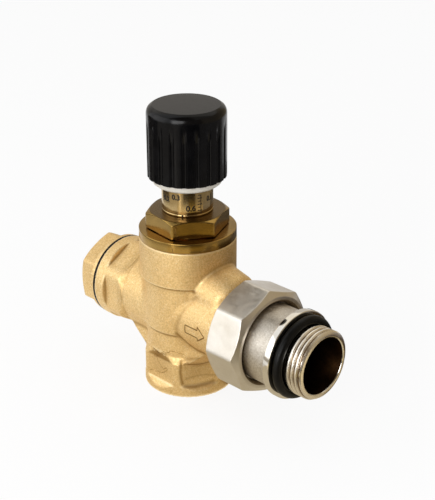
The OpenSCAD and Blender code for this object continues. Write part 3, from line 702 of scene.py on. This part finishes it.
def dressed_bonnet():
    """Turned bonnet: flange, hexagon, plain neck and the setting thread."""
    hex_top = sleeve_foot
    hex_foot = hex_top - 6.4
    flange_top = hex_foot - 0.5
    thread_top = neck_top - 2.2
    seat_r, gap_r, corner_r, neck_r, thread_r, clip_r = 15.0, 13.4, 16.05, 8.85, 8.0, 7.3
    skirt_bore_r, spring_bore_r, plunger_bore_r = 12.0, 7.6, 5.05
    outline = [
        (bonnet_foot, skirt_bore_r), (bonnet_foot, seat_r, 0.5), (barrel_top, seat_r),
        (barrel_top, BONNET_FLANGE_R, 0.35), (flange_top, BONNET_FLANGE_R, 0.3), (flange_top, gap_r, 0.1),
        (hex_foot, gap_r), (hex_foot, 13.9, 0, "hexagon"), (hex_foot, corner_r, 0, "hexagon"),
        # The hexagon's top face takes the darker brass: painted shade and painted dark reflection of the knob
        # above
        (hex_top - 1.1, corner_r, 0.2, "hexagon"), (hex_top, 14.15, 0.25, "hexagon", 1),
        (hex_top, 10.2, 0.2, "", 1), (hex_top, neck_r), (sleeve_top, neck_r, 0.2),
        (sleeve_top, thread_r, 0, "thread"), (thread_top, thread_r, 0, "thread"), (neck_top - 1.95, clip_r),
        (neck_top - 0.75, clip_r), (neck_top - 0.7, thread_r), (neck_top, thread_r, 0.4),
        (neck_top, plunger_bore_r, 0.2), (sleeve_top - 1, plunger_bore_r), (sleeve_top - 1, spring_bore_r),
        (bonnet_foot + 8.5, spring_bore_r), (bonnet_foot + 6.5, skirt_bore_r)]
    forms = {"hexagon": prism_form(BONNET_HALF_FLATS, 6, BONNET_TURN, 0.35),
             "thread": thread_form(sleeve_top, thread_top, 2.0, 0.75)}
    piece = lathe("dressed_bonnet", outline, [BONNET_BRASS, SHADED_BRASS], 288, forms)
    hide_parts("bonnet")
    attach(piece, "casing")


def bonnet_marks():
    """A mark of painted shade for a stamped nick beside a corner of the hexagon, and a scratch across the
    flange.
    """
    facing = math.radians(-36)
    outward = np.array([math.cos(facing), math.sin(facing), 0])
    sideways = np.array([-math.sin(facing), math.cos(facing), 0])
    middle = sleeve_foot - 3.3
    vertices, faces = [], []
    for u, z, wide, high in ((-6.6, middle, 0.5, 4.0), (-6.1, middle + 1.85, 1.3, 0.35),
                             (-6.1, middle - 1.85, 1.3, 0.35)):
        first = len(vertices)
        for out in (-0.05, 0.015):
            for du, dz in ((-0.5, -0.5), (0.5, -0.5), (0.5, 0.5), (-0.5, 0.5)):
                place = outward * (BONNET_HALF_FLATS + out) + sideways * (u + du * wide)
                vertices.append((place[0], place[1], z + dz * high))
        quads = ((0, 3, 2, 1), (4, 5, 6, 7), (0, 1, 5, 4), (1, 2, 6, 5), (2, 3, 7, 6), (3, 0, 4, 7))
        faces += [tuple(first + k for k in quad) for quad in quads]
    # The nick's darkness is painted shade of a stamped recess
    nick = finish_mesh("hexagon_nick", vertices, faces, [CREASE])
    scratch = scale_mark("flange_scratch", 0.3, 1.9, BONNET_FLANGE_R, math.radians(-61.6), barrel_top + 1.3,
                         CREASE)
    for mark in (nick, scratch):
        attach(mark, "casing")


def dressed_sleeve():
    """Sleeve of the scale, with a bead round its foot."""
    radius = node_radius("scale_sleeve", 0)
    outline = [
        (sleeve_foot, 8.9), (sleeve_foot, radius - 0.2, 0.1), (sleeve_foot + 0.3, radius, 0.15),
        (sleeve_foot + 0.75, radius, 0.15), (sleeve_foot + 0.95, radius - 0.15, 0.1),
        (sleeve_foot + 1.15, radius, 0.1), (sleeve_top, radius, 0.3), (sleeve_top, 8.9)]
    piece = lathe("dressed_sleeve", outline, [SLEEVE_BRASS], 192)
    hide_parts("scale_sleeve")
    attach(piece, "casing")


def on_cylinder(points, radius, angle, centre_z):
    """Flat points (across, up, out) wrapped onto the neck's cylinder."""
    a = angle + points[:, 0] / radius
    r = radius + points[:, 2]
    return np.stack([r * np.cos(a), r * np.sin(a), centre_z + points[:, 1]], 1)


def scale_mark(name, across, up, radius, angle, z, material=INK):
    """A thin bar printed on a cylinder."""
    thickness = 0.012
    steps = max(2, math.ceil(across / 0.3))
    vertices = []
    for i in range(steps + 1):
        u = -across / 2 + across * i / steps
        for v, w in ((-up / 2, -thickness), (up / 2, -thickness), (up / 2, thickness), (-up / 2, thickness)):
            vertices.append((u, v, w))
    last = 4 * steps
    faces = [(3, 2, 1, 0), *row_faces(steps + 1, 4, False), (last, last + 1, last + 2, last + 3)]
    return finish_mesh(name, on_cylinder(np.array(vertices), radius, angle, z), faces, [material])


def scale_number(name, words, height, radius, angle, z):
    """A printed number, wrapped round the sleeve."""
    curve = bpy.data.curves.new(name, "FONT")
    curve.body = words
    curve.align_x = "CENTER"
    curve.align_y = "CENTER"
    curve.size = height * 1.38
    curve.resolution_u = 3
    curve.offset = 0.055 * height
    flat = new_object(name + "_flat", curve)
    mesh = bpy.data.meshes.new_from_object(flat.evaluated_get(bpy.context.evaluated_depsgraph_get()))
    bpy.data.objects.remove(flat)
    places = read_places(mesh)
    places[:, 2] = 0.02
    write_places(mesh, on_cylinder(places, radius, angle, z))
    paint(mesh, INK)
    mesh.update()
    return new_object(name, mesh)


def printed_scale():
    """The scale on the sleeve: two upright lines with ticks, and numbers at several heights round it."""
    radius = node_radius("scale_sleeve", 0)
    marks = []
    for line, first in ((0, -13.3), (1, 166.7)):
        angle = math.radians(first)
        marks.append(scale_mark(f"scale_line_{line}", 0.36, 7.4, radius, angle, sleeve_foot + 5.0))
        for i in range(6):
            width = 1.9 if i % 2 == 0 else 1.2
            z = sleeve_foot + 2.6 + 1.2 * i
            marks.append(scale_mark(f"scale_tick_{line}_{i}", width, 0.3, radius, angle - 0.5 / radius, z))
    # A dark patch of painted shade where the sleeve's foot has a small notch
    marks.append(scale_mark("sleeve_notch", 0.6, 0.8, radius, math.radians(-55), sleeve_foot + 0.6))
    # Each number's angle, its middle above the sleeve's foot, and its height
    numbers = (("0.6", -36.4, 3.5, 2.2), ("0.1", 13, 6.2, 2.0), ("0.3", -70, 7.6, 2.0), ("0.2", -97, 6.3, 2.0),
               ("0.5", 143, 3.5, 2.2), ("0.4", 193, 6.2, 2.0), ("0.6", 110, 7.6, 2.0), ("0.1", 83, 6.3, 2.0))
    for i, (words, degrees, rise, height) in enumerate(numbers):
        marks.append(scale_number(f"scale_number_{i}", words, height, radius, math.radians(degrees),
                                  sleeve_foot + rise))
    for mark in marks:
        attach(mark, "casing")


def grip_form(top, count, cutter_r, cutter_at, turn, fade):
    """Narrow round-bottomed grooves up a knob's side, ending below its top edge."""
    def shape(theta, along, radius):
        step = TAU / count
        off = (theta - turn + step / 2) % step - step / 2
        side = cutter_r ** 2 - (cutter_at * np.sin(off)) ** 2
        rise = np.maximum(along - top, 0) / fade
        cut = np.where(side > 0, cutter_at * np.cos(off) - np.sqrt(np.maximum(side, 0)), cutter_at)
        cut = cut + (cutter_at - cut) * np.clip(rise, 0, 1)
        return soft_min(radius, cut, 0.28)
    return shape


def dressed_knob():
    """Black cap with its grooves, crowned ribs and rounded top edge."""
    radius, top_r, bore_r, centre_r = 14.85, 12.65, 12.35, 0.02
    roof = knob_top - 1.4
    first_groove = math.radians(6.2)
    outline = [
        (knob_foot, bore_r), (knob_foot, radius, 0.3, "grip"), (knob_top - 3.2, radius, 0, "grip")]
    for drop, in_by in ((2.5, 0.09), (1.9, 0.26), (1.4, 0.50), (0.95, 0.84), (0.6, 1.25), (0.3, 1.72)):
        outline.append((knob_top - drop, radius - in_by))
    outline += [
        (knob_top - 0.01, top_r), (knob_top, 12.0), (knob_top, 3.0), (knob_top, centre_r), (roof, centre_r),
        (roof, bore_r)]
    forms = {"grip": grip_form(knob_top - 10.5, 20, 1.0, 15.2, first_groove, 8.0)}
    piece = lathe("dressed_knob", outline, [BLACK], 800, forms, step=0.45, start=first_groove, sharp_angle=26)
    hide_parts("knob")
    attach(piece, "handle")


def dressed_insert():
    """Off-white insert with the index collar."""
    top = node_span("knob_insert", 2)[1]
    thread_foot = sleeve_top + 7.8
    index_r, rim_r, body_r, skirt_r, hollow_r, thread_r = 12.1, 13.0, 12.3, 10.0, 9.4, 8.05
    outline = [
        (insert_foot, skirt_r, 0.15), (insert_foot, index_r, 0.2), (insert_foot + 0.75, rim_r, 0.2),
        (knob_foot, rim_r), (knob_foot, body_r), (top, body_r, 0.3), (top, 0.02), (top - 1, 0.02),
        (top - 1, hollow_r), (neck_top - 2, hollow_r), (neck_top - 2, thread_r, 0.2),
        (thread_foot, thread_r, 0.2), (thread_foot, skirt_r)]
    piece = lathe("dressed_insert", outline, [WHITE], 192)
    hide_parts("knob_insert")
    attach(piece, "handle")


# Union, tailpiece and plug

collar_x = tail_start + 16.0
groove_x = collar_x + 2.8

def dressed_nut():
    """Octagonal union nut with turned crowns, a flat front face and its thread inside."""
    half_flats, sides = 19.25, 8
    corner_r = half_flats / math.cos(math.pi / sides) - 0.12
    crown_r, lip_r, thread_r = 17.9, 15.4, 17.35
    lip_x = nut_front - 3.0
    outline = [
        (nut_back, crown_r, 0.2), (nut_back, 18.7, 0.2, "octagon"), (nut_back + 1.25, corner_r, 0.2, "octagon"),
        (nut_front - 1.75, corner_r, 0.2, "octagon"), (nut_front, crown_r, 0.2, "octagon"),
        # The countersink and lip inside the front face take the dark nickel, painted shade in that recess
        (nut_front, 16.5, 0.15, "", 1), (nut_front - 1.3, lip_r, 0.2, "", 1), (lip_x, lip_r),
        (lip_x, thread_r, 0, "thread"), (nut_back + 0.6, thread_r, 0, "thread")]
    forms = {"octagon": prism_form(half_flats, sides, math.radians(1.5) + math.pi / sides, 0.3),
             "thread": thread_form(nut_back + 0.5, lip_x, 1.5, 0.6, -1)}
    piece = lathe("dressed_nut", outline, [NUT_NICKEL, PAINTED_SHADE_NICKEL], 384, forms, ALONG_OUTLET, sharp_angle=28)
    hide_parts("union_nut")
    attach(piece, "nut")


def dressed_tail():
    """Tailpiece: sleeve, snap-ring groove, collar, sealing groove and the helical outlet thread."""
    snap_x = tail_start + 1.4
    thread_x = groove_x + 4.8
    bore_r, sleeve_r, snap_r, collar_r, seal_r, thread_r = 10.77, 14.9, 14.15, 16.95, 12.3, 13.22
    # The bore and the inner end face take the near black metal, painted shade inside the tube
    outline = [
        (tail_start, bore_r, 0, "", 2), (tail_start, sleeve_r, 0.2, "", 1), (snap_x, sleeve_r, 0, "", 1),
        (snap_x, snap_r, 0, "", 1), (snap_x + 1.4, snap_r, 0, "", 1), (snap_x + 1.4, sleeve_r, 0, "", 1),
        (collar_x, sleeve_r, 0.25), (collar_x, collar_r, 0.35), (groove_x, collar_r, 0.35),
        (groove_x, seal_r, 0.3), (thread_x, seal_r, 0.3, "", 3), (thread_x, 13.05, 0.2, "thread", 3),
        (thread_x + 0.25, thread_r, 0, "thread", 3), (tail_end - 1, thread_r, 0, "thread", 3),
        (tail_end, 12.35, 0.25, "thread", 3), (tail_end, 11.0, 0.2), (tail_end - 0.35, bore_r, 0, "", 2)]
    forms = {"thread": thread_form(thread_x, tail_end + 0.6, 1.814, 0.75, crested=True)}
    piece = lathe("dressed_tail", outline, [TAIL_NICKEL, MATT_NICKEL, BORE, THREAD_NICKEL], 288, forms,
                  ALONG_OUTLET, step=0.13, sharp_angle=40)
    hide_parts("union_tail")
    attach(piece, "tail")


def dressed_seal():
    """The tailpiece's rubber sealing ring, round in section."""
    centre, ring_r, wire_r = groove_x + 1.85, 14.11, 1.77
    outline = [(centre + wire_r * math.cos(a), ring_r + wire_r * math.sin(a))
               for a in (TAU * i / 20 for i in range(20))]
    piece = lathe("dressed_tail_seal", outline, [RUBBER], 192, place=ALONG_OUTLET, sharp_angle=60)
    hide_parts("tail_seal_ring")
    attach(piece, "tail")


def dressed_plug():
    """Rear plug: hexagon, round flange and its thread."""
    flange_foot = plug_end - 10.0
    flange_top = plug_end - 7.8
    hollow_r, thread_r, flange_r, corner_r = 8.3, 12.0, 16.5, 16.0
    outline = [
        (flange_foot - 12.5, hollow_r), (flange_foot - 12.5, thread_r, 0.3), (flange_foot, thread_r),
        (flange_foot, flange_r, 0.3), (flange_top, flange_r, 0.4), (flange_top, 14.2, 0, "hexagon"),
        (flange_top, corner_r, 0, "hexagon"), (plug_end - 1.1, corner_r, 0.3, "hexagon"),
        (plug_end, 14.1, 0.5, "hexagon"), (plug_end, 0.02), (plug_end - 5, 0.02), (plug_end - 5, hollow_r, 0.6)]
    forms = {"hexagon": prism_form(14.0, 6, math.pi / 6, 0.8)}
    piece = lathe("dressed_plug", outline, [CAST], 288, forms, ALONG_REAR)
    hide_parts("rear_plug")
    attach(piece, "plug")


def coil_spring():
    """The spring, on a mesh of its own; the real one shortens as the plunger comes down."""
    piece = new_object("coil_spring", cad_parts["spring"].data.copy())
    paint(piece.data, STEEL)
    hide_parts("spring")
    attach(piece, "casing")
    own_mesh(piece)


# Light, floor and camera

# The photograph's camera, found from the circles and corners of the turned parts: its angles, how far
# it stands from the point it looks at, and that point's place to the right and up
CAMERA_AZIMUTH, CAMERA_ELEVATION, CAMERA_DISTANCE = 44.61, 24.79, 460.31
CAMERA_AIM_RIGHT, CAMERA_AIM_UP = 11.26, 55.09
FLOOR_HALF, FLOOR_DROP, FLOOR_GLOW = 12.0, 0.0001, 0.86
WORLD_LEVEL = 0.75

# Heights of the lowest and the highest cards, and the widest angle that one flat part of a card spans
LOW, HIGH, CARD_STEP = 0.0004, 0.75, 12


def seen_directly(tree):
    """1 for what the camera sees, straight, mirrored or through glass, and 0 for what only lights."""
    path = add_node(tree, "LightPath", {})
    seen = path.outputs["Is Camera Ray"]
    for ray in ("Is Glossy Ray", "Is Transmission Ray"):
        seen = add_node(tree, "Math", {0: seen, 1: path.outputs[ray]}, operation="MAXIMUM").outputs[0]
    return seen


def make_floor():
    """A pale floor that shows near white and keeps a soft shadow."""
    material, tree = new_material("floor")
    shader = tree.nodes["Principled BSDF"]
    shader.inputs["Base Color"].default_value = (0.93, 0.93, 0.93, 1)
    shader.inputs["Roughness"].default_value = 0.9
    shader.inputs["Specular IOR Level"].default_value = 0.1
    glow = add_node(tree, "Emission", {"Color": (1, 1, 1, 1)})
    share = add_node(tree, "Math", {0: seen_directly(tree), 1: FLOOR_GLOW}, operation="MULTIPLY")
    mix = add_node(tree, "MixShader", {0: share.outputs[0], 1: shader.outputs[0], 2: glow.outputs[0]})
    tree.links.new(mix.outputs[0], tree.nodes["Material Output"].inputs["Surface"])
    mesh = bpy.data.meshes.new("floor")
    corners = [(FLOOR_HALF * x, FLOOR_HALF * y, 0) for x, y in ((-1, -1), (1, -1), (1, 1), (-1, 1))]
    mesh.from_pydata(corners, [], [(0, 1, 2, 3)])
    mesh.materials.append(material)
    floor = new_object("floor", mesh)
    floor.location.z = -FLOOR_DROP


def make_world():
    """White where it is seen, and a plain grey light otherwise."""
    world = bpy.data.worlds.new("studio")
    bpy.context.scene.world = world
    world.use_nodes = True
    tree = world.node_tree
    background = tree.nodes["Background"]
    background.inputs["Color"].default_value = (1, 1, 1, 1)
    inputs = {"Value": seen_directly(tree), "To Min": WORLD_LEVEL, "To Max": 1.0}
    strength = add_node(tree, "MapRange", inputs)
    tree.links.new(strength.outputs[0], background.inputs["Strength"])


def make_lamp(name, place, aim, size, power):
    """A soft square lamp that faces a point."""
    data = bpy.data.lights.new(name, "AREA")
    data.shape = "RECTANGLE"
    data.size, data.size_y = size
    data.energy = power
    lamp = new_object(name, data)
    lamp.location = place
    lamp.rotation_euler = (Vector(aim) - Vector(place)).to_track_quat("-Z", "Y").to_euler()


def make_card(name, start, end, near, far, foot, top, level):
    """A card between two angles, counted from the camera to its right, that rises from near to far.
    Only gloss sees it, so that polished faces have something light or dark to mirror."""
    material, tree = new_material(name)
    glow = add_node(tree, "Emission", {"Color": (*level, 1)})
    tree.links.new(glow.outputs[0], tree.nodes["Material Output"].inputs["Surface"])
    steps = math.ceil(abs(end - start) / CARD_STEP)
    angles = [math.radians(CAMERA_AZIMUTH - 90 + start + (end - start) * i / steps) for i in range(steps + 1)]
    corners = [(r * math.cos(a), r * math.sin(a), z) for r, z in ((near, foot), (far, top)) for a in angles]
    row = steps + 1
    mesh = bpy.data.meshes.new(name)
    mesh.from_pydata(corners, [], [(i, i + 1, row + i + 1, row + i) for i in range(steps)])
    mesh.materials.append(material)
    card = new_object(name, mesh)
    card.visible_camera = False
    card.visible_diffuse = False
    card.visible_transmission = False
    card.visible_shadow = False


def view_axes():
    """Right, back and up of the photograph's camera."""
    azimuth, elevation = math.radians(CAMERA_AZIMUTH), math.radians(CAMERA_ELEVATION)
    right = Vector((math.cos(azimuth), math.sin(azimuth), 0))
    back = Vector((math.cos(elevation) * math.sin(azimuth), -math.cos(elevation) * math.cos(azimuth),
                   math.sin(elevation)))
    return right, back, back.cross(right)


def make_camera():
    """A camera that looks as the photograph's did."""
    right, back, up = view_axes()
    target = right * (CAMERA_AIM_RIGHT * MM) + Vector((0, 0, CAMERA_AIM_UP * MM))
    data = bpy.data.cameras.new("camera")
    data.lens = 86.65
    data.sensor_width = 36
    data.clip_start = 0.01
    camera = new_object("camera", data)
    rotation = Matrix((right, up, back)).transposed()
    camera.matrix_world = Matrix.Translation(target + back * (CAMERA_DISTANCE * MM)) @ rotation.to_4x4()
    bpy.context.scene.camera = camera


def make_light():
    """Two soft lamps, and the cards round and over the object."""
    right, back, up = view_axes()
    centre = Vector((0.01, 0, 0.055))
    make_lamp("softbox", centre - right * 0.62 + back * 0.14 + up * 0.10, centre, (0.5, 0.6), 0.8)
    make_lamp("key", centre - right * 0.30 + back * 0.70 - up * 0.10, centre, (0.45, 0.45), 3.15)
    for name, *place in (
            ("low_left", -110, -45, 0.018, 0.045, LOW, LOW, (0.74, 0.66, 0.52)),
            ("low_front", -45, 60, 0.018, 0.10, LOW, LOW, (0.56, 0.48, 0.34)),
            ("low_right", 60, 160, 0.018, 0.10, LOW, LOW, (0.12, 0.085, 0.045)),
            ("left_near", -85, -45, 0.045, 0.10, LOW, LOW, (0.72, 0.70, 0.67)),
            ("front_near", -45, 5, 0.10, 0.18, LOW, LOW, (1.0, 0.88, 0.64)),
            ("front_gap", 5, 40, 0.10, 0.135, LOW, LOW, (0.13, 0.11, 0.09)),
            ("front_near_right", 5, 40, 0.135, 0.19, LOW, LOW, (0.52, 0.40, 0.15)),
            ("front", -18, 35, 0.19, 1.5, LOW, LOW, (0.016, 0.014, 0.012)),
            ("front_left", -85, -18, 0.18, 1.5, LOW, LOW, (0.46, 0.42, 0.36)),
            ("left", -135, -85, 0.19, 1.5, LOW, LOW, (0.06, 0.05, 0.04)),
            ("glint", -33, -30, 0.13, 0.30, 0.0006, 0.0006, (2.2, 2.05, 1.8)),
            ("right_near", 40, 70, 0.10, 0.19, LOW, LOW, (0.80, 0.66, 0.40)),
            ("right_side", 70, 118, 0.10, 0.165, LOW, LOW, (0.05, 0.03, 0.01)),
            ("right_rise", 70, 118, 0.165, 0.19, LOW, LOW, (0.36, 0.35, 0.38)),
            ("right_back", 118, 165, 0.10, 0.25, LOW, LOW, (0.12, 0.11, 0.10)),
            ("right", 35, 118, 0.19, 1.5, LOW, LOW, (0.26, 0.24, 0.22)),
            ("ceiling", -60, 30, 0.0, 0.85, HIGH, HIGH, (0.13, 0.105, 0.07)),
            ("ceiling_right", 30, 95, 0.0, 0.85, HIGH, HIGH, (0.42, 0.38, 0.31)),
            ("ceiling_back", 95, 235, 0.0, 0.85, HIGH, HIGH, (1.0, 0.94, 0.83)),
            ("wall_right", 45, 150, 0.6, 0.6, 0.0, 0.6, (0.44, 0.35, 0.22)),
            ("wall_back", 150, 235, 0.7, 0.7, 0.0, 0.5, (0.60, 0.56, 0.51)),
            ("wall_back_top", 150, 235, 0.7, 0.7, 0.5, HIGH, (1.0, 0.95, 0.86)),
            ("wall_front", -25, 45, 0.8, 0.8, 0.0, HIGH, (0.16, 0.12, 0.08))):
        make_card("card_" + name, *place)


make_camera()
make_world()
make_floor()
make_light()
bpy.context.scene.view_settings.view_transform = "Standard"

cast_body()
casting_marks()
dressed_bonnet()
bonnet_marks()
dressed_sleeve()
printed_scale()
dressed_knob()
dressed_insert()
dressed_nut()
dressed_tail()
dressed_plug()
dressed_seal()
coil_spring()

# The CAD nodes that stay as they are get their finishes
for node, material in (
        ("bonnet_seal", RUBBER), ("travel_clip", STEEL), ("plunger", BONNET_BRASS), ("plunger_seals", RUBBER),
        ("stem", STEEL), ("disc_holder", BONNET_BRASS), ("disc_seal", RUBBER),
        ("seal_washer", STEEL), ("stem_nut", STEEL), ("snap_ring", STEEL), ("union_gasket", FIBRE),
        ("plug_gasket", RUBBER)):
    paint(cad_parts[node].data, material)
